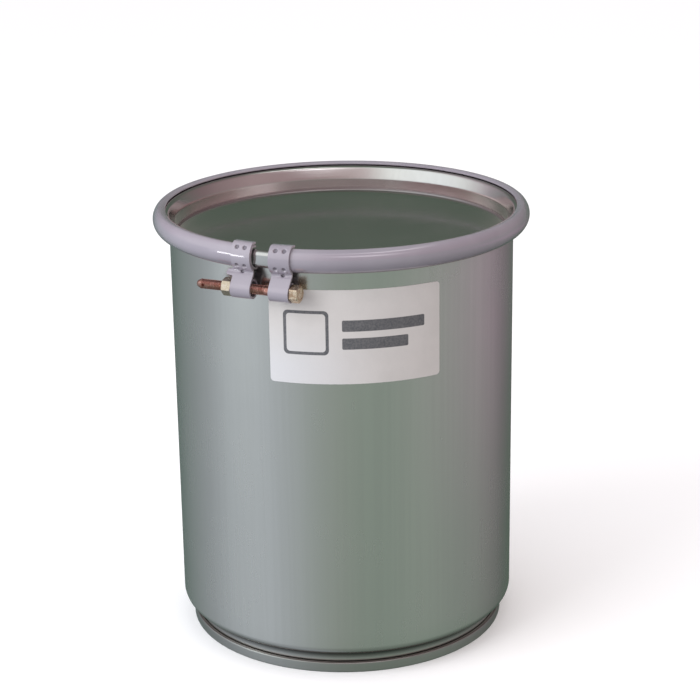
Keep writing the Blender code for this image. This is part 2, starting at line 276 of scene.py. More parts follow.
def build_shell():
    """Rolled top edge, straight wall, shoulder and neck, and the hook inside the double seam."""
    wall, neck = BODY_RADIUS - HALF, NECK_RADIUS - HALF
    curl = arc(CURL_CENTRE, CURL_RADIUS - HALF, -130, 180, 26)
    # Short facets down the wall keep the mesh even
    wall_height, rows = SHOULDER_TOP - CURL_CENTRE[1], 24
    straight = [(wall, CURL_CENTRE[1] + wall_height * i / rows) for i in range(1, rows)]
    shoulder = arc((BODY_RADIUS - SHOULDER_RADIUS, SHOULDER_TOP), SHOULDER_RADIUS - HALF, 0, -84, 12)
    hook, seam_wall, turn = seam_radius(1), seam_radius(3), SHEET * 1.5 + GAP
    tail = [shoulder[-1], (neck, SHOULDER_TOP - SHOULDER_RADIUS), (neck, CHIME_HEIGHT + 1.0)]
    tail += [(seam_wall, CHIME_HEIGHT + GAP), (seam_wall, turn), (hook, turn), (hook, SHELL_HOOK_TOP)]
    path = curl + straight + shoulder + rounded(tail, SEAM_BEND)[1:]
    return turned("drum_shell", sheet_outline(path, SHEET))


def build_bottom():
    """Flat bottom panel, and the outer layers of the double seam that it turns into."""
    chuck, hook, outside = seam_radius(4), seam_radius(2), seam_radius(0)
    panel, top = BOTTOM_PANEL_TOP - HALF, CHIME_HEIGHT - HALF
    edge, drop = BOTTOM_PANEL_EDGE, BOTTOM_PANEL_DROP
    path = rounded([(edge - 9.0, panel), (edge, panel), (chuck, panel - drop), (chuck, HALF)], 1.5)[:-1]
    seam = [(chuck, drop), (chuck, HALF), (outside, HALF), (outside, top), (hook, top)]
    path += rounded(seam + [(hook, BOTTOM_HOOK_END)], SHEET)
    path = [(0.0, panel), (PANEL_MIDDLE, panel)] + path
    return turned("drum_bottom", sheet_outline(path, SHEET, round_start=False))


# ---------------------------------------------------------------- cover and gasket


def build_cover():
    """Recessed panel, a wall that flares at the top, and a flange over the drum's rolled edge."""
    panel = COVER_LOW + HALF
    crest = COVER_TOP - HALF + COVER_CREST_RISE
    corner = CURL_RADIUS - HALF
    edge = COVER_PANEL_EDGE
    wall = [(120.0, panel), (edge, panel), (edge + 1.3, panel + 1.2), COVER_FLARE_START]
    flare = [(144.3, crest - 1.2), (COVER_CREST_START, crest), (COVER_CREST_END, crest)]
    path = [(0.0, panel), (PANEL_MIDDLE, panel)] + rounded(wall + flare, 1.4)
    path += arc((COVER_FLANGE_RADIUS - corner, crest - corner), corner, 90, 0, 12)
    path += [(COVER_FLANGE_RADIUS, COVER_FLANGE_END)]
    return turned("drum_cover", sheet_outline(path, SHEET, round_start=False))


def build_gasket():
    """Rubber ring with rounded edges, in the cover's channel."""
    (_, _, bottom), (outer, _, top) = BOX["cover_gasket"]
    inner = GASKET_INNER_RADIUS
    corners = [(inner, top), (outer, top), (outer, bottom), (inner, bottom)]
    outline = rounded(corners + corners[:2], 1.4)[1:-1]
    return turned("gasket", outline)


# ---------------------------------------------------------------- closing ring and lugs


def build_ring():
    """C-section band, open at the closure, with two flat ends."""
    front = arc(RING_CENTRE, RING_RADIUS, RING_SHOULDER, -90, 34)
    # A soft bend takes the place of the round front's first points
    path = rounded([RING_LIP] + front[:1] + front[4:5], 2.2)[:-1] + front[4:]
    outline = sheet_outline(path, RING_SHEET)
    count = len(outline)
    vertices = []
    for i in range(ROUND + 1):
        for r, z in outline:
            start = asin(CLOSURE_GAP / 2 / r)
            a = radians(CLOSURE_AZIMUTH) + start + (2 * pi - 2 * start) * i / ROUND
            vertices.append((r * MM * sin(a), -r * MM * cos(a), z * MM))
    faces = []
    for i in range(ROUND):
        for j in range(count):
            k = (j + 1) % count
            faces.append((i * count + j, (i + 1) * count + j, (i + 1) * count + k, i * count + k))
    for start in (0, ROUND * count):
        faces.append(tuple(range(start, start + count)))
    return make_object("ring_band", vertices, faces)


def lug_path(steps):
    """Middle of a lug's strap: over the ring, in at the neck, out along the ledge and round the bolt.

    Each point is (radius, height, left normal, straightness, length so far); straightness is 0 where
    the strap follows the round ring and 1 where it is straight along the bolt.
    """
    radius = RING_REACH + GAP + LUG_SHEET / 2
    hug = arc(RING_CENTRE, radius, RING_SHOULDER + 3.0, LUG_RELEASE, 6 * steps)
    lip, corner = LUG_LIP
    flat = [tuple(lip[k] + (corner[k] - lip[k]) * i / steps for k in (0, 1)) for i in range(steps)]
    hug = flat + rounded([flat[-1], corner, hug[2]], 0.9, 3)[1:-1] + hug[2:]
    heading = radians(LUG_RELEASE - 90)
    last = hug[-1]
    centre = (last[0] - NECK_BEND * sin(heading), last[1] + NECK_BEND * cos(heading))
    barrel = (BOLT_AXIS_RADIUS, BOLT_AXIS_HEIGHT)
    reach = hypot(barrel[0] - centre[0], barrel[1] - centre[1])
    slope = atan2(barrel[1] - centre[1], barrel[0] - centre[0])
    tangent = slope + asin((NECK_BEND + BARREL_RADIUS) / reach)
    first, turn_end = degrees(heading) - 90, degrees(tangent) - 90
    while turn_end < first:
        turn_end += 360
    neck = arc(centre, NECK_BEND, first, turn_end, 2 * steps)[1:]
    meets = degrees(tangent) + 90
    knuckle = arc(barrel, BARREL_RADIUS, meets, meets - BARREL_TURN, 8 * steps)
    start, end = neck[-1], knuckle[0]
    ledge = [tuple(start[k] + (end[k] - start[k]) * i / steps for k in (0, 1)) for i in range(1, steps)]
    points = [(p, 0.0) for p in hug]
    points += [(p, (i + 1) / len(neck)) for i, p in enumerate(neck)]
    points += [(p, 1.0) for p in ledge + knuckle]
    found, travelled = [], 0.0
    for i, (point, straight) in enumerate(points):
        before, after = points[max(i - 1, 0)][0], points[min(i + 1, len(points) - 1)][0]
        length = hypot(after[0] - before[0], after[1] - before[1])
        normal = ((before[1] - after[1]) / length, (after[0] - before[0]) / length)
        if i:
            travelled += hypot(point[0] - before[0], point[1] - before[1])
        found.append((*point, normal, straight, travelled))
    return found


def lug_marks(hug_end):
    """Spot welds near the strap's top and under the ring's nose, and a small drain hole in the neck.

    Each mark is (place along the bolt, length along the strap, radius, depth).
    """
    near = CLOSURE_GAP / 2
    marks = [(near + LUG_WIDTH * 0.56, hug_end + 2.6, 1.3, 1.5)]
    for share in (0.31, 0.72):
        place = near + LUG_WIDTH * share
        marks += [(place, 9.8, 1.55, 1.1), (place, hug_end - 5.6, 1.45, 1.0)]
        marks.append((place + 0.9, hug_end - 3.0, 1.15, -0.7))
    return marks


def pressed(along, length, marks):
    """How far the marks press the strap's outer face in at a place."""
    depth = 0.0
    for mark_along, mark_length, radius, deep in marks:
        away = hypot(along - mark_along, length - mark_length) / radius
        if away < 1.35:
            edge = min(max((1.35 - away) / 0.55, 0.0), 1.0)
            depth += deep * edge * edge * (3 - 2 * edge)
    return depth


def sheet_mesh(outer, inner):
    """Vertices and faces of a sheet between two grids of places."""
    vertices, index = [], {}
    for layer, grid in enumerate((outer, inner)):
        for i, row in enumerate(grid):
            for j, place in enumerate(row):
                index[layer, i, j] = len(vertices)
                vertices.append(place)
    rows, columns = len(outer) - 1, len(outer[0]) - 1
    faces = []
    for layer in (0, 1):
        for i in range(rows):
            for j in range(columns):
                corners = ((i, j), (i, j + 1), (i + 1, j + 1), (i + 1, j))
                faces.append([index[(layer, *c)] for c in corners])
    rim = [(0, j) for j in range(columns)] + [(i, columns) for i in range(rows)]
    rim += [(rows, j) for j in range(columns, 0, -1)] + [(i, 0) for i in range(rows, 0, -1)]
    for a, b in zip(rim, rim[1:] + rim[:1]):
        faces.append([index[(0, *a)], index[(0, *b)], index[(1, *b)], index[(1, *a)]])
    return vertices, faces


def build_lug(name, side, tab):
    """Strap on one side of the gap. Side is -1 for the nut's and +1 for the head's."""
    columns = 44
    path = lug_path(12)
    hug_end = max(length for *_, straight, length in path if straight == 0.0)
    marks = lug_marks(hug_end)
    outer, inner, deeps = [], [], []
    for radius, height, normal, straight, length in path:
        width = LUG_WIDTH + tab * min(max((2.9 - abs(length - hug_end - 4.3)) / 0.9, 0.0), 1.0)
        rows = ([], [])
        for column in range(columns + 1):
            along = CLOSURE_GAP / 2 + width * column / columns
            deep = pressed(along, length, marks)
            deeps.append(deep)
            for row, shift in zip(rows, (LUG_SHEET / 2 - deep, -LUG_SHEET / 2)):
                r, z = radius + normal[0] * shift, height + normal[1] * shift
                round_out = sqrt(r * r - along * along)
                out = round_out + (r - round_out) * straight
                row.append(closure_place(side * along, out, z))
        outer.append(rows[0])
        inner.append(rows[1])
    vertices, faces = sheet_mesh(outer, inner)
    lug = make_object(name, vertices, faces, sharp=50, depths=deeps + [0.0] * len(deeps))
    bevel = lug.modifiers.new("edges", "BEVEL")
    bevel.width = 0.3 * MM
    bevel.segments = 2
    bevel.limit_method = "ANGLE"
    bevel.angle_limit = radians(60)
    return lug


# ---------------------------------------------------------------- bolt and nut


def on_bolt(rows):
    """Points and side faces of closed rows along the bolt. Each row is (along, radius or its function)."""
    around = BOLT_ROUND
    vertices, faces = [], []
    for along, radius in rows:
        for j in range(around):
            a = 2 * pi * j / around
            r = radius(a, along) if callable(radius) else radius
            out = BOLT_AXIS_RADIUS + r * cos(a)
            vertices.append(closure_place(along, out, BOLT_AXIS_HEIGHT + r * sin(a)))
    for i in range(len(rows) - 1):
        for j in range(around):
            k = (j + 1) % around
            faces.append((i * around + j, i * around + k, (i + 1) * around + k, (i + 1) * around + j))
    return vertices, faces


def hex_radius(turn, chamfer_from, face, side):
    """Radius of a hexagon whose corners are cut back towards a face by a shallow cone."""

    def radius(angle, along):
        sector = (angle - turn) % (pi / 3) - pi / 6
        flat = HEX_ACROSS_FLATS / 2 / cos(sector)
        away = side * (face - along)
        return min(flat, chamfer_from + away * 1.9)

    return radius


def thread_radius(angle, along):
    """A rolled 60 degree thread, faded out at the start of the plain shank and at the tip."""
    phase = (along / THREAD_PITCH - angle / (2 * pi)) % 1.0
    wave = abs(2 * phase - 1)
    tip_fade = min(max((along - BOLT_TIP - 3.0) / 2.0, 0.0), 1.0)
    shank_fade = min(max((THREAD_START - along) / 3.0, 0.0), 1.0)
    return BOLT_RADIUS - THREAD_DEPTH * tip_fade * shank_fade * min(1.0, wave * 1.15)


def build_bolt():
    """Hex bolt through both knuckles, threaded towards a tapered tip with a cross hole."""
    start = CLOSURE_GAP / 2 + LUG_WIDTH + GAP
    top = start + HEAD_HEIGHT
    head = hex_radius(radians(HEAD_TURN), HEX_ACROSS_FLATS / 2 - 0.2, top, 1)
    first = BOLT_TIP + TIP_LENGTH
    rows = [(BOLT_TIP, 0.01), (BOLT_TIP, 2.2), (BOLT_TIP + 0.35, 2.6), (first, BOLT_RADIUS)]
    length, rows_a_turn = THREAD_START - first, 14
    count = int(length / THREAD_PITCH * rows_a_turn)
    rows += [(first + length * i / count, thread_radius) for i in range(1, count + 1)]
    rows += [(start - 0.6, BOLT_RADIUS), (start - 0.02, BOLT_RADIUS + 0.25), (start, BOLT_RADIUS + 0.3)]
    rows += [(start, 6.1), (start + 0.02, head)]
    rows += [(start + HEAD_HEIGHT * i / 8, head) for i in range(1, 5)]
    rows += [(top - HEX_CHAMFER + HEX_CHAMFER * i / 8, head) for i in range(9)]
    rows += [(top, 4.6), (top - 0.25, 4.2), (top - 0.25, 0.01)]
    vertices, faces = on_bolt(rows)
    faces.append(tuple(range(BOLT_ROUND)))
    faces.append(tuple(range(len(vertices) - BOLT_ROUND, len(vertices))))
    bolt = make_object("ring_bolt", vertices, faces, sharp=28)
    drill = build_drill()
    cut = bolt.modifiers.new("wire_hole", "BOOLEAN")
    cut.operation, cut.solver, cut.object = "DIFFERENCE", "EXACT", drill
    settle(bolt)
    bpy.data.objects.remove(drill, do_unlink=True)
    bolt.data.set_sharp_from_angle(angle=radians(28))
    return bolt


def build_drill():
    """Rod that cuts the cross hole through the bolt's tip."""
    rod = bmesh.new()
    radius = TIP_HOLE_RADIUS * MM
    bmesh.ops.create_cone(rod, cap_ends=True, segments=32, radius1=radius, radius2=radius, depth=12 * MM)
    mesh = bpy.data.meshes.new("drill")
    rod.to_mesh(mesh)
    rod.free()
    drill = bpy.data.objects.new("drill", mesh)
    bpy.context.scene.collection.objects.link(drill)
    place = closure_place(BOLT_TIP + TIP_HOLE_AWAY, BOLT_AXIS_RADIUS, BOLT_AXIS_HEIGHT)
    turn = Matrix.Rotation(radians(CLOSURE_AZIMUTH), 4, "Z") @ Matrix.Rotation(pi / 2, 4, "X")
    drill.matrix_world = Matrix.Translation(place) @ turn
    return drill


def settle(obj):
    """Applies an object's modifiers."""
    graph = bpy.context.evaluated_depsgraph_get()
    mesh = bpy.data.meshes.new_from_object(obj.evaluated_get(graph))
    obj.modifiers.clear()
    obj.data = mesh


def build_nut():
    """Hex nut with both faces chamfered and a threaded bore."""
    outer_face = -(CLOSURE_GAP / 2 + LUG_WIDTH + 0.5 + NUT_HEIGHT)
    inner_face = outer_face + NUT_HEIGHT
    both = (
        hex_radius(radians(NUT_TURN), HEX_ACROSS_FLATS / 2 - 0.15, outer_face, -1),
        hex_radius(radians(NUT_TURN), HEX_ACROSS_FLATS / 2 - 0.15, inner_face, 1),
    )

    def hexed(angle, along):
        return min(f(angle, along) for f in both)

    def bore(angle, along):
        phase = (along / THREAD_PITCH - angle / (2 * pi)) % 1.0
        return BOLT_RADIUS + 0.28 + 0.3 * abs(2 * phase - 1)

    rows = [(outer_face, 5.0), (outer_face, hexed)]
    rows += [(outer_face + HEX_CHAMFER * i / 8, hexed) for i in range(1, 9)]
    rows += [(inner_face - HEX_CHAMFER + HEX_CHAMFER * i / 8, hexed) for i in range(9)]
    rows += [(inner_face, 5.0), (inner_face - 0.7, bore)]
    count = 70
    rows += [(inner_face - 0.7 - (NUT_HEIGHT - 1.4) * i / count, bore) for i in range(1, count + 1)]
    rows.append((outer_face, 5.0))
    vertices, faces = on_bolt(rows)
    return make_object("ring_nut", vertices, faces, sharp=28)


# ---------------------------------------------------------------- label


def label_extent():
    """First and last azimuth in degrees, and lowest and highest height, from the CAD label's box."""
    low, high = BOX["label"]
    radius = BODY_RADIUS + LABEL_CAD_AWAY
    first, last = degrees(asin(low[0] / radius)), degrees(asin(high[0] / radius))
    return first, last, low[2], high[2]


def build_label():
    """Thin sheet with rounded corners, bent round the wall."""
    first, last, low, high = label_extent()
    back = BODY_RADIUS + LABEL_AWAY
    corner_turn = degrees(LABEL_CORNER / BODY_RADIUS)
    corner = [(1 - cos(a), 1 - sin(a)) for a in (pi / 2 * i / 8 for i in range(9))]
    stations = [(first + c * corner_turn, s * LABEL_CORNER) for c, s in corner]
    span = last - first - 2 * corner_turn
    stations += [(first + corner_turn + span * i / 60, 0.0) for i in range(1, 60)]
    stations += [(last - c * corner_turn, s * LABEL_CORNER) for c, s in reversed(corner)]
    lift = [
        [(r * MM * sin(radians(a)), -r * MM * cos(radians(a))) for a, _ in stations]
        for r in (back, back + LABEL_SHEET)
    ]
    vertices, faces = [], []
    last_row = 8
    for ring in lift:
        for (x, y), (_, inset) in zip(ring, stations):
            low_z, high_z = low + inset, high - inset
            step = (high_z - low_z) / last_row
            vertices += [(x, y, (low_z + step * k) * MM) for k in range(last_row + 1)]
    # Front and back faces, then the four edges
    tall, many = last_row + 1, len(stations)
    for layer in (0, many * tall):
        for i in range(many - 1):
            for k in range(last_row):
                a = layer + i * tall + k
                faces.append((a, a + tall, a + tall + 1, a + 1))
    for i in range(many - 1):
        for k in (0, last_row):
            a = i * tall + k
            faces.append((a, a + tall, a + tall + many * tall, a + many * tall))
    for i in (0, many - 1):
        for k in range(last_row):
            a = i * tall + k
            faces.append((a, a + 1, a + 1 + many * tall, a + many * tall))
    return make_object("front_label", vertices, faces)


# ---------------------------------------------------------------- materials


class Nodes:
    """Short calls for building one material's or world's node tree."""

    def __init__(self, tree):
        self.tree = tree

    def add(self, kind, inputs=None, **settings):
        node = self.tree.nodes.new(kind)
        for key, value in settings.items():
            setattr(node, key, value)
        for key, value in (inputs or {}).items():
            self.put(node.inputs[key], value)
        return node

    def put(self, socket, value):
        if isinstance(value, bpy.types.NodeSocket):
            self.tree.links.new(value, socket)
        else:
            socket.default_value = value

    def math(self, operation, a, b=0.0):
        node = self.add("ShaderNodeMath", operation=operation)
        for socket, value in zip(node.inputs, (a, b)):
            self.put(socket, value)
        return node.outputs[0]

    def multiply(self, a, b):
        return self.math("MULTIPLY", a, b)

    def length(self, x, y):
        return self.math("SQRT", self.math("ADD", self.multiply(x, x), self.multiply(y, y)))

    def smooth(self, value, low, high, to_low=0.0, to_high=1.0):
        node = self.add("ShaderNodeMapRange", interpolation_type="SMOOTHSTEP")
        for socket, given in zip(node.inputs, (value, low, high, to_low, to_high)):
            self.put(socket, given)
        return node.outputs[0]

    def mix(self, share, a, b, blend="MIX"):
        node = self.add("ShaderNodeMix", data_type="RGBA", blend_type=blend)
        self.put(node.inputs["Factor"], share)
        for key, value in (("A", a), ("B", b)):
            socket = next(s for s in node.inputs if s.name == key and s.type == "RGBA")
            self.put(socket, (*value, 1.0) if isinstance(value, tuple) and len(value) == 3 else value)
        return next(s for s in node.outputs if s.type == "RGBA")

    def noise(self, vector, scale, detail=3.0, roughness=0.5):
        node = self.add("ShaderNodeTexNoise", {"Vector": vector, "Scale": scale, "Detail": detail})
        node.inputs["Roughness"].default_value = roughness
        return node.outputs["Fac"]

    def stretched(self, vector, scale):
        node = self.add("ShaderNodeVectorMath", {0: vector, 1: scale}, operation="MULTIPLY")
        return node.outputs[0]

    def axes(self, vector):
        return self.add("ShaderNodeSeparateXYZ", {0: vector}).outputs


def new_material(name):
    """A material, with short calls for its tree, its main shader and the place on the object."""
    material = bpy.data.materials.new(name)
    material.use_nodes = True
    tree = material.node_tree
    nodes = Nodes(tree)
    shader = tree.nodes["Principled BSDF"]
    place = nodes.add("ShaderNodeTexCoord").outputs["Object"]
    return material, nodes, shader, place


def around_and_up(nodes, place):
    """A vector whose X is the distance round the drum's wall and whose Y is the height, in metres."""
    x, y, z = nodes.axes(place)
    azimuth = nodes.math("ARCTAN2", x, nodes.multiply(y, -1.0))
    round_wall = nodes.multiply(azimuth, BODY_RADIUS * MM)
    return nodes.add("ShaderNodeCombineXYZ", {0: round_wall, 1: z}).outputs[0]


def steel_material(name, tint, roughness, streak):
    """Satin stainless: rolled grain, slow vertical bands, faint smudges, a softly dented sheet and painted shade
    on the neck.
    """
    material, nodes, shader, place = new_material(name)
    wall = around_and_up(nodes, place)
    bands = nodes.noise(nodes.stretched(place, (9.0, 9.0, 0.7)), 1.0, 2.0)
    grain = nodes.noise(nodes.stretched(place, (260.0, 260.0, streak)), 1.0, 2.0, 0.5)
    smudge = nodes.noise(place, 14.0, 5.0, 0.6)
    # The chime is made darker than the wall, and painted shade darkens the neck above it towards the shoulder,
    # under which shade falls
    z = nodes.axes(place)[2]
    neck_painted_shade = nodes.smooth(z, 9.5 * MM, 16.5 * MM, 0.95, 0.12)
    neck_shade_and_chime_darkening = nodes.math("MAXIMUM", neck_painted_shade, nodes.smooth(z, 19.0 * MM, 22.5 * MM))
    neck_shade_and_chime_darkening = nodes.multiply(neck_shade_and_chime_darkening, nodes.smooth(z, 8.5 * MM, 9.5 * MM, 0.68, 1.0))
    light = tuple(min(1.0, c * 1.04) for c in tint)
    dark = tuple(c * 0.96 for c in tint)
    colour = nodes.mix(nodes.smooth(bands, 0.3, 0.7), dark, light)
    colour = nodes.mix(nodes.smooth(grain, 0.35, 0.65, 0.0, 0.10), colour, tuple(c * 0.8 for c in tint))
    shaded = nodes.add("ShaderNodeVectorMath", {0: colour}, operation="SCALE")
    nodes.put(shaded.inputs["Scale"], neck_shade_and_chime_darkening)
    nodes.put(shader.inputs["Base Color"], shaded.outputs[0])
    nodes.put(shader.inputs["Metallic"], 1.0)
    rough = nodes.smooth(smudge, 0.35, 0.7, roughness - 0.02, roughness + 0.03)
    rough = nodes.math("ADD", rough, nodes.multiply(nodes.math("SUBTRACT", grain, 0.5), 0.06))
    rough = nodes.math("MAXIMUM", rough, nodes.smooth(z, 12.0 * MM, 20.0 * MM, 0.36, 0.0))
    nodes.put(shader.inputs["Roughness"], rough)
    dents = nodes.noise(nodes.stretched(wall, (16.0, 5.0, 1.0)), 1.0, 2.0)
    wide = nodes.add("ShaderNodeBump", {"Height": dents, "Strength": 0.05, "Distance": 0.004})
    fine = nodes.add("ShaderNodeBump", {"Height": grain, "Strength": 0.006, "Distance": 0.0004})
    nodes.put(fine.inputs["Normal"], wide.outputs[0])
    nodes.put(shader.inputs["Normal"], fine.outputs[0])
    return material, nodes, shader, place


def cover_material():
    """Brighter steel for the cover, with painted shade in the corner between its panel and its wall, and a painted
    reflection where the panel mirrors the wall.
    """
    material, nodes, shader, place = steel_material("cover_steel", (0.68, 0.71, 0.675), 0.15, 60.0)
    x, y, z = nodes.axes(place)
    # Painted shade: a dark tint in the corner between the panel and the wall
    away = nodes.math("ABSOLUTE", nodes.math("SUBTRACT", nodes.length(x, y), CREASE_RADIUS * MM))
    near = nodes.smooth(away, 0.4 * MM, 1.6 * MM, 1.0, 0.0)
    crease_painted_shade = nodes.multiply(near, nodes.smooth(z, 345.2 * MM, 346.5 * MM, 0.6, 0.0))
    colour = shader.inputs["Base Color"].links[0].from_socket
    colour = nodes.mix(crease_painted_shade, colour, (0.16, 0.13, 0.14))
    # Painted reflection: a wall that is mirrored in the panel, and so met by a rising ray after a glossy bounce,
    # is drawn black with a glow of PANEL_LOOK, so that it shows as dim as the panel
    back = nodes.axes(nodes.add("ShaderNodeNewGeometry").outputs["Incoming"])[2]
    above_panel = nodes.smooth(z, 343.5 * MM, 344.5 * MM)
    mirrored = nodes.multiply(nodes.smooth(back, -0.16, -0.08, 1.0, 0.0), above_panel)
    bounced = nodes.math("GREATER_THAN", nodes.add("ShaderNodeLightPath").outputs["Glossy Depth"], 0.5)
    mirrored = nodes.multiply(mirrored, bounced)
    nodes.put(shader.inputs["Base Color"], nodes.mix(mirrored, colour, (0.0, 0.0, 0.0)))
    nodes.put(shader.inputs["Emission Color"], (*PANEL_LOOK, 1.0))
    nodes.put(shader.inputs["Emission Strength"], mirrored)
    rough = shader.inputs["Roughness"].links[0].from_socket
    nodes.put(shader.inputs["Roughness"], nodes.math("MAXIMUM", rough, nodes.multiply(crease_painted_shade, 0.6)))
    return material


def paint_material():
    """Semi-gloss sprayed paint with faint orange peel, painted shade in the pressed marks and fine scuffs."""
    material, nodes, shader, place = new_material("ring_paint")
    mottle = nodes.noise(place, 35.0, 4.0)
    colour = nodes.mix(nodes.smooth(mottle, 0.35, 0.65), (0.300, 0.275, 0.318), (0.322, 0.297, 0.340))
    scuff = nodes.noise(nodes.stretched(place, (90.0, 90.0, 300.0)), 1.0, 6.0, 0.65)
    worn = nodes.smooth(scuff, 0.70, 0.78, 0.0, 0.25)
    colour = nodes.mix(worn, colour, (0.40, 0.38, 0.41))
    # Painted shade: the pressed marks and the drain hole grow darker with their depth
    deep = nodes.add("ShaderNodeAttribute", attribute_name="pressed").outputs["Fac"]
    colour = nodes.mix(nodes.smooth(deep, 0.15, 1.1, 0.0, 0.8), colour, (0.085, 0.075, 0.10))
    nodes.put(shader.inputs["Base Color"], colour)
    nodes.put(shader.inputs["Roughness"], nodes.smooth(mottle, 0.3, 0.7, 0.20, 0.27))
    nodes.put(shader.inputs["Specular IOR Level"], 0.6)
    nodes.put(shader.inputs["Coat Weight"], 1.0)
    nodes.put(shader.inputs["Coat Roughness"], 0.03)
    nodes.put(shader.inputs["Coat IOR"], 1.75)
    peel = nodes.noise(place, 700.0, 2.0)
    bump = nodes.add("ShaderNodeBump", {"Height": peel, "Strength": 0.05, "Distance": 0.0003})
    nodes.put(shader.inputs["Normal"], bump.outputs[0])
    return material


def plated_material(name, tint, worn_tint, roughness, head_tint=None):
    """Plated hardware: blotchy plating rubbed bright in patches, and a differently plated head."""
    material, nodes, shader, place = new_material(name)
    blotch = nodes.noise(place, 260.0, 4.0, 0.6)
    colour = nodes.mix(nodes.smooth(blotch, 0.42, 0.7, 0.0, 0.6), tint, worn_tint)
    fine = nodes.noise(place, 1500.0, 3.0)
    colour = nodes.mix(nodes.smooth(fine, 0.3, 0.7, 0.0, 0.08), colour, tuple(c * 0.6 for c in tint))
    if head_tint:
        along = nodes.add("ShaderNodeVectorMath", {0: place, 1: BOLT_AXIS}, operation="DOT_PRODUCT")
        start = CLOSURE_GAP / 2 + LUG_WIDTH
        head = nodes.smooth(along.outputs["Value"], start * MM, (start + GAP) * MM)
        rubbed = nodes.mix(nodes.smooth(blotch, 0.4, 0.6), head_tint, (0.72, 0.62, 0.46))
        colour = nodes.mix(head, colour, rubbed)
    nodes.put(shader.inputs["Base Color"], colour)
    nodes.put(shader.inputs["Metallic"], 0.95)
    rough = nodes.smooth(blotch, 0.3, 0.7, roughness - 0.05, roughness + 0.06)
    nodes.put(shader.inputs["Roughness"], rough)
    bump = nodes.add("ShaderNodeBump", {"Height": fine, "Strength": 0.08, "Distance": 0.0002})
    nodes.put(shader.inputs["Normal"], bump.outputs[0])
    return material


def rubber_material(name, tint, scale):
    """Matt, speckled rubber or sealing compound."""
    material, nodes, shader, place = new_material(name)
    speck = nodes.noise(place, scale, 4.0, 0.6)
    colour = nodes.mix(nodes.smooth(speck, 0.35, 0.7), tint, tuple(c * 1.7 + 0.01 for c in tint))
    nodes.put(shader.inputs["Base Color"], colour)
    nodes.put(shader.inputs["Roughness"], nodes.smooth(speck, 0.3, 0.7, 0.55, 0.8))
    bump = nodes.add("ShaderNodeBump", {"Height": speck, "Strength": 0.3, "Distance": 0.0003})
    nodes.put(shader.inputs["Normal"], bump.outputs[0])
    return material


def label_material():
    """White vinyl printed with plain bars and an empty rounded square, with no lettering, and a painted sheen
    towards its lower left.
    """
    material, nodes, shader, place = new_material("label_vinyl")
    first, last, low, high = label_extent()
    wide = radians(last - first) * BODY_RADIUS * MM
    tall = (high - low) * MM
    centre = radians(first + last) / 2 * BODY_RADIUS * MM
    wall = around_and_up(nodes, place)
    u, v, _ = nodes.axes(wall)
    u = nodes.math("SUBTRACT", u, centre - wide / 2)
    v = nodes.math("SUBTRACT", v, low * MM)

    def rectangle(x0, x1, y0, y1, corner):
        """1 inside a rounded rectangle given in shares of the label's width and height."""
        half_x, half_y = (x1 - x0) * wide / 2, (y1 - y0) * tall / 2
        dx = nodes.math("ABSOLUTE", nodes.math("SUBTRACT", u, (x0 + x1) / 2 * wide))
        dy = nodes.math("ABSOLUTE", nodes.math("SUBTRACT", v, (y0 + y1) / 2 * tall))
        dx = nodes.math("MAXIMUM", nodes.math("SUBTRACT", dx, half_x - corner), 0.0)
        dy = nodes.math("MAXIMUM", nodes.math("SUBTRACT", dy, half_y - corner), 0.0)
        blur = 0.15 * MM
        return nodes.smooth(nodes.length(dx, dy), corner - blur, corner + blur, 1.0, 0.0)

    square = rectangle(0.085, 0.345, 0.31, 0.78, 4.0 * MM)
    hollow = rectangle(0.103, 0.327, 0.343, 0.747, 2.8 * MM)
    ink = nodes.math("SUBTRACT", square, hollow)
    for x0, x1, y0, y1 in ((0.42, 0.90, 0.56, 0.68), (0.42, 0.80, 0.37, 0.49)):
        ink = nodes.math("MAXIMUM", ink, rectangle(x0, x1, y0, y1, 1.2 * MM))
    fibre = nodes.noise(place, 700.0, 3.0)
    stain = nodes.noise(place, 22.0, 4.0, 0.6)
    base = nodes.mix(nodes.smooth(stain, 0.35, 0.7), (0.655, 0.63, 0.605), (0.605, 0.585, 0.56))
    # Painted sheen: the label is lightened towards its lower left
    at_left = nodes.smooth(u, 0.0, 0.7 * wide, 1.0, 0.0)
    at_foot = nodes.smooth(v, 0.1 * tall, 0.75 * tall, 1.0, 0.0)
    painted_sheen = nodes.multiply(at_left, at_foot)
    base = nodes.mix(painted_sheen, base, (0.645, 0.65, 0.66))
    base = nodes.mix(nodes.smooth(fibre, 0.3, 0.7, 0.0, 0.06), base, (0.5, 0.49, 0.47))
    print_wear = nodes.smooth(fibre, 0.2, 0.8, 0.93, 0.8)
    colour = nodes.mix(nodes.multiply(ink, print_wear), base, (0.045, 0.05, 0.06))
    nodes.put(shader.inputs["Base Color"], colour)
    nodes.put(shader.inputs["Roughness"], nodes.smooth(stain, 0.3, 0.7, 0.42, 0.55))
    bump = nodes.add("ShaderNodeBump", {"Height": fibre, "Strength": 0.06, "Distance": 0.0002})
    nodes.put(shader.inputs["Normal"], bump.outputs[0])
    return material


def wear(piece, material):
    """Gives a piece one material."""
    piece.data.materials.clear()
    piece.data.materials.append(material)


# ---------------------------------------------------------------- stage, light and camera


def direction(azimuth, elevation):
    """Unit vector towards an azimuth and an elevation."""
    a, e = radians(azimuth), radians(elevation)
    return Vector((sin(a) * cos(e), -cos(a) * cos(e), sin(e)))


# What the cover's flat panel mirrors, beyond the drum, and the colour of the painted reflection that glows on the
# cover's wall where the panel mirrors it
PANEL_LOOK = (0.100, 0.122, 0.100)
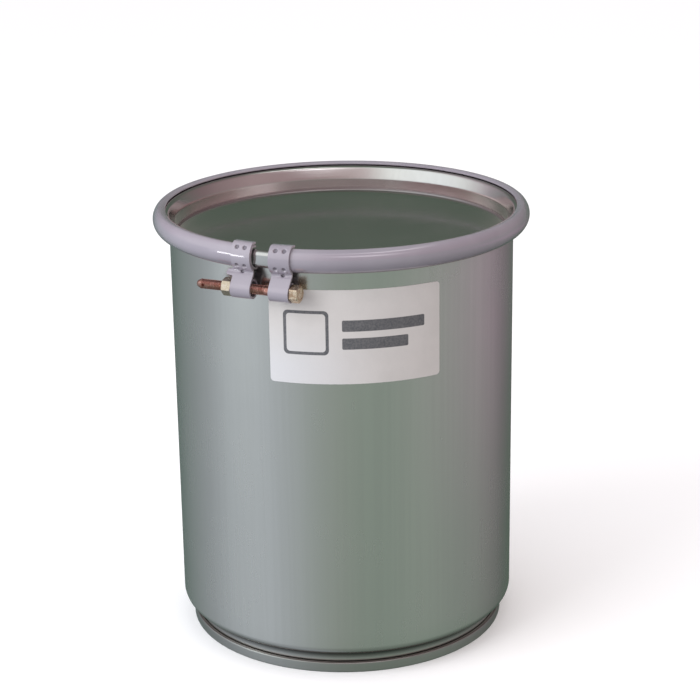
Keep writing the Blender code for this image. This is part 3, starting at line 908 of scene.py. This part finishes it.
# What the drum's wall mirrors below the horizon: azimuth from the view, and colour
LOWER_ROOM = (
    (-180, (0.115, 0.164, 0.150)),
    (-158, (0.125, 0.170, 0.155)),
    (-134, (0.265, 0.298, 0.304)),
    (-106, (0.394, 0.406, 0.446)),
    (-85, (0.524, 0.536, 0.594)),
    (-68, (0.564, 0.574, 0.634)),
    (-52, (0.562, 0.572, 0.634)),
    (-33, (0.487, 0.501, 0.531)),
    (-19, (0.416, 0.442, 0.435)),
    (-5, (0.351, 0.376, 0.350)),
    (9, (0.320, 0.361, 0.326)),
    (25, (0.292, 0.337, 0.301)),
    (53, (0.309, 0.351, 0.313)),
    (86, (0.258, 0.303, 0.267)),
    (102, (0.235, 0.270, 0.239)),
    (120, (0.194, 0.208, 0.193)),
    (136, (0.123, 0.144, 0.128)),
    (155, (0.084, 0.129, 0.097)),
    (180, (0.072, 0.111, 0.084)),
)
# What the cover's flared wall mirrors above the horizon
UPPER_ROOM = (
    (-180, PANEL_LOOK),
    (-162, (0.120, 0.122, 0.115)),
    (-124, (0.45, 0.36, 0.41)),
    (-95, (0.95, 0.92, 0.95)),
    (-74, (1.09, 1.07, 1.13)),
    (-37, (1.05, 1.02, 1.04)),
    (-18, (0.66, 0.54, 0.56)),
    (-3, (0.51, 0.385, 0.40)),
    (30, (0.38, 0.26, 0.28)),
    (66, (0.43, 0.30, 0.32)),
    (112, (0.24, 0.16, 0.175)),
    (150, (0.120, 0.120, 0.110)),
    (180, PANEL_LOOK),
)
# The room's ceiling
HIGH_ROOM = (0.130, 0.150, 0.125)
# What two faces inside the cover mirror in turn, beyond the drum
SECOND_ROOM = (0.46, 0.33, 0.36)
# Soft panels in the room: azimuth from the view, sharpness round, elevation, its spread, and colour
PANELS = (
    (98.0, 3.0, -15.0, 6.0, (0.235, 0.085, 0.185)),
    (16.0, 16.0, 36.0, 4.0, (2.8, 2.7, 2.85)),
    (40.0, 3.6, 61.0, 4.0, (3.0, 2.9, 3.0)),
)


def room_ramp(nodes, share, table):
    """Colour from a table of azimuths, by the share of a full turn."""
    ramp = nodes.add("ShaderNodeValToRGB", {"Fac": share})
    stops = ramp.color_ramp.elements
    for azimuth, colour in table[1:-1]:
        stops.new(azimuth / 360 + 0.5).color = (*colour, 1.0)
    stops[0].color = (*table[0][1], 1.0)
    stops[-1].color = (*table[-1][1], 1.0)
    return ramp.outputs["Color"]


def build_world():
    """What shiny faces mirror is a painted room; what lights matt faces is white above and dim below."""
    world = bpy.data.worlds.new("studio")
    bpy.context.scene.world = world
    world.use_nodes = True
    nodes = Nodes(world.node_tree)
    background = world.node_tree.nodes["Background"]
    way = nodes.add("ShaderNodeTexCoord").outputs["Generated"]
    x, y, z = nodes.axes(way)
    flat = nodes.math("MAXIMUM", nodes.length(x, y), 0.001)
    elevation = nodes.multiply(nodes.math("ARCSINE", z), 180 / pi)
    azimuth = nodes.math("ARCTAN2", x, nodes.multiply(y, -1.0))
    share = nodes.math("ADD", nodes.math("DIVIDE", azimuth, 2 * pi), 0.5)
    dimmed = nodes.smooth(elevation, -65.0, -14.0, 0.62, 1.02)
    lower = nodes.add("ShaderNodeVectorMath", {0: room_ramp(nodes, share, LOWER_ROOM)}, operation="SCALE")
    nodes.put(lower.inputs["Scale"], dimmed)
    upper = nodes.mix(nodes.smooth(elevation, 45.0, 75.0), room_ramp(nodes, share, UPPER_ROOM), HIGH_ROOM)
    room = nodes.mix(nodes.smooth(elevation, -2.0, 12.0), lower.outputs[0], upper)
    ray = nodes.add("ShaderNodeLightPath").outputs
    first = nodes.math("LESS_THAN", ray["Glossy Depth"], 1.5)
    for turned_to, sharp, high, spread, colour in PANELS:
        aim = direction(turned_to, 0.0)
        toward = nodes.math("ADD", nodes.multiply(x, aim.x), nodes.multiply(y, aim.y))
        turn = nodes.math("SUBTRACT", nodes.math("DIVIDE", toward, flat), 1.0)
        rise = nodes.math("DIVIDE", nodes.math("SUBTRACT", elevation, high), spread)
        power = nodes.math("SUBTRACT", nodes.multiply(turn, sharp), nodes.multiply(rise, rise))
        weight = nodes.multiply(nodes.math("EXPONENT", power), first)
        room = nodes.mix(1.0, room, nodes.mix(weight, (0.0, 0.0, 0.0), colour), "ADD")
    again = nodes.multiply(nodes.smooth(y, -0.2, 0.2), nodes.smooth(elevation, -6.0, 2.0))
    warmer = nodes.mix(1.0, room, (1.08, 0.82, 0.87), "MULTIPLY")
    room = nodes.mix(first, nodes.mix(again, warmer, SECOND_ROOM), room)
    sky = nodes.mix(nodes.smooth(x, -0.9, 0.9), (1.00, 1.02, 1.08), (0.94, 0.85, 0.83))
    ground = nodes.mix(nodes.smooth(x, -0.7, 0.5), (0.70, 0.74, 0.82), (0.34, 0.32, 0.335))
    even = nodes.mix(nodes.smooth(elevation, -8.0, 8.0), ground, sky)
    seen = nodes.mix(ray["Is Glossy Ray"], even, room)
    seen = nodes.mix(ray["Is Camera Ray"], seen, (1.0, 1.0, 1.0))
    nodes.put(background.inputs["Color"], seen)
    nodes.put(background.inputs["Strength"], 1.0)


def build_lamp(name, azimuth, elevation, distance, size, power, colour, glint=False):
    """Soft lamp aimed at the drum's middle, which shiny faces mirror only if it is a glint."""
    light = bpy.data.lights.new(name, "AREA")
    light.color = colour
    light.shape = "RECTANGLE"
    light.size, light.size_y = size
    light.energy = power
    lamp = bpy.data.objects.new(name, light)
    bpy.context.scene.collection.objects.link(lamp)
    target = Vector((0.0, 0.0, 0.184))
    lamp.location = target + direction(azimuth, elevation) * distance
    lamp.rotation_euler = (target - lamp.location).to_track_quat("-Z", "Y").to_euler()
    lamp.visible_glossy = glint
    lamp.visible_camera = False


def build_stage():
    """Pale matt floor that shiny faces and bounced light pass by, so that only its shadow shows."""
    mesh = bpy.data.meshes.new("floor")
    reach = 14.0
    corners = [(-reach, -reach, 0), (reach, -reach, 0), (reach, reach, 0), (-reach, reach, 0)]
    mesh.from_pydata(corners, [], [(0, 1, 2, 3)])
    floor = bpy.data.objects.new("floor", mesh)
    bpy.context.scene.collection.objects.link(floor)
    material, nodes, shader, _ = new_material("floor")
    nodes.put(shader.inputs["Base Color"], (0.96, 0.96, 0.96, 1.0))
    # A faint cool glow takes the sky's warmth out of the floor
    nodes.put(shader.inputs["Emission Color"], (0.9, 1.0, 1.0, 1.0))
    nodes.put(shader.inputs["Emission Strength"], 0.08)
    nodes.put(shader.inputs["Roughness"], 0.9)
    nodes.put(shader.inputs["Specular IOR Level"], 0.1)
    mesh.materials.append(material)
    floor.visible_glossy = False
    floor.visible_diffuse = False


def build_camera():
    """Camera at the photo's view of the front."""
    data = bpy.data.cameras.new("camera")
    data.lens = CAMERA_FOCAL
    data.sensor_width = 36.0
    data.clip_end = 100.0
    camera = bpy.data.objects.new("camera", data)
    bpy.context.scene.collection.objects.link(camera)
    pitch, yaw, roll = radians(CAMERA_PITCH), radians(CAMERA_YAW), radians(CAMERA_ROLL)
    ahead = Vector((sin(yaw) * cos(pitch), cos(yaw) * cos(pitch), -sin(pitch)))
    level = ahead.cross(Vector((0, 0, 1))).normalized()
    upright = level.cross(ahead)
    right = level * cos(roll) + upright * sin(roll)
    up = upright * cos(roll) - level * sin(roll)
    pose = Matrix((right, up, -ahead)).transposed().to_4x4()
    pose.translation = Vector((0.0, -CAMERA_DISTANCE, CAMERA_HEIGHT))
    camera.matrix_world = pose
    bpy.context.scene.camera = camera


# ---------------------------------------------------------------- the drum


shell_steel = steel_material("shell_steel", (0.66, 0.70, 0.655), 0.25, 3.0)[0]
cover_steel = cover_material()
ring_paint = paint_material()
copper, worn_copper, yellow_zinc = (0.45, 0.235, 0.185), (0.62, 0.42, 0.36), (0.52, 0.37, 0.24)
bolt_plating = plated_material("bolt_plating", copper, worn_copper, 0.24, yellow_zinc)
nut_plating = plated_material("nut_plating", (0.62, 0.55, 0.41), (0.84, 0.80, 0.69), 0.26)

shell = stand_for(build_shell(), "body_shell")
bottom = stand_for(build_bottom(), "bottom_head")
label = stand_for(build_label(), "label")
cover = stand_for(build_cover(), "cover")
gasket = stand_for(build_gasket(), "cover_gasket")
head_lug = stand_for(build_lug("lug_head_side", 1, 0.0), "head_side_lug")
nut_lug = stand_for(build_lug("lug_nut_side", -1, LUG_TAB), "nut_side_lug")
bolt = stand_for(build_bolt(), "closing_bolt")
nut = stand_for(build_nut(), "closing_nut")

ring = build_ring()
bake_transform(ring)
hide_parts("closing_ring")

for piece in (shell, bottom):
    wear(piece, shell_steel)
wear(cover, cover_steel)
for piece in (ring, head_lug, nut_lug):
    wear(piece, ring_paint)
wear(bolt, bolt_plating)
wear(nut, nut_plating)
wear(label, label_material())
wear(gasket, rubber_material("gasket_rubber", (0.03, 0.03, 0.032), 900.0))
wear(frame["nodes"]["seam_compound"], rubber_material("seam_compound", (0.07, 0.06, 0.05), 700.0))

build_world()
build_lamp("key", -55.0, 34.0, 2.2, (1.4, 1.4), 25.0, (0.97, 0.98, 1.0))
build_lamp("fill", 60.0, 35.0, 2.6, (2.0, 2.0), 5.0, (1.0, 0.86, 0.86))
build_lamp("glint", -66.0, 2.0, 2.2, (0.75, 0.28), 4.3, (0.98, 0.98, 1.0), glint=True)
build_stage()
build_camera()
bpy.context.scene.view_settings.view_transform = "Standard"
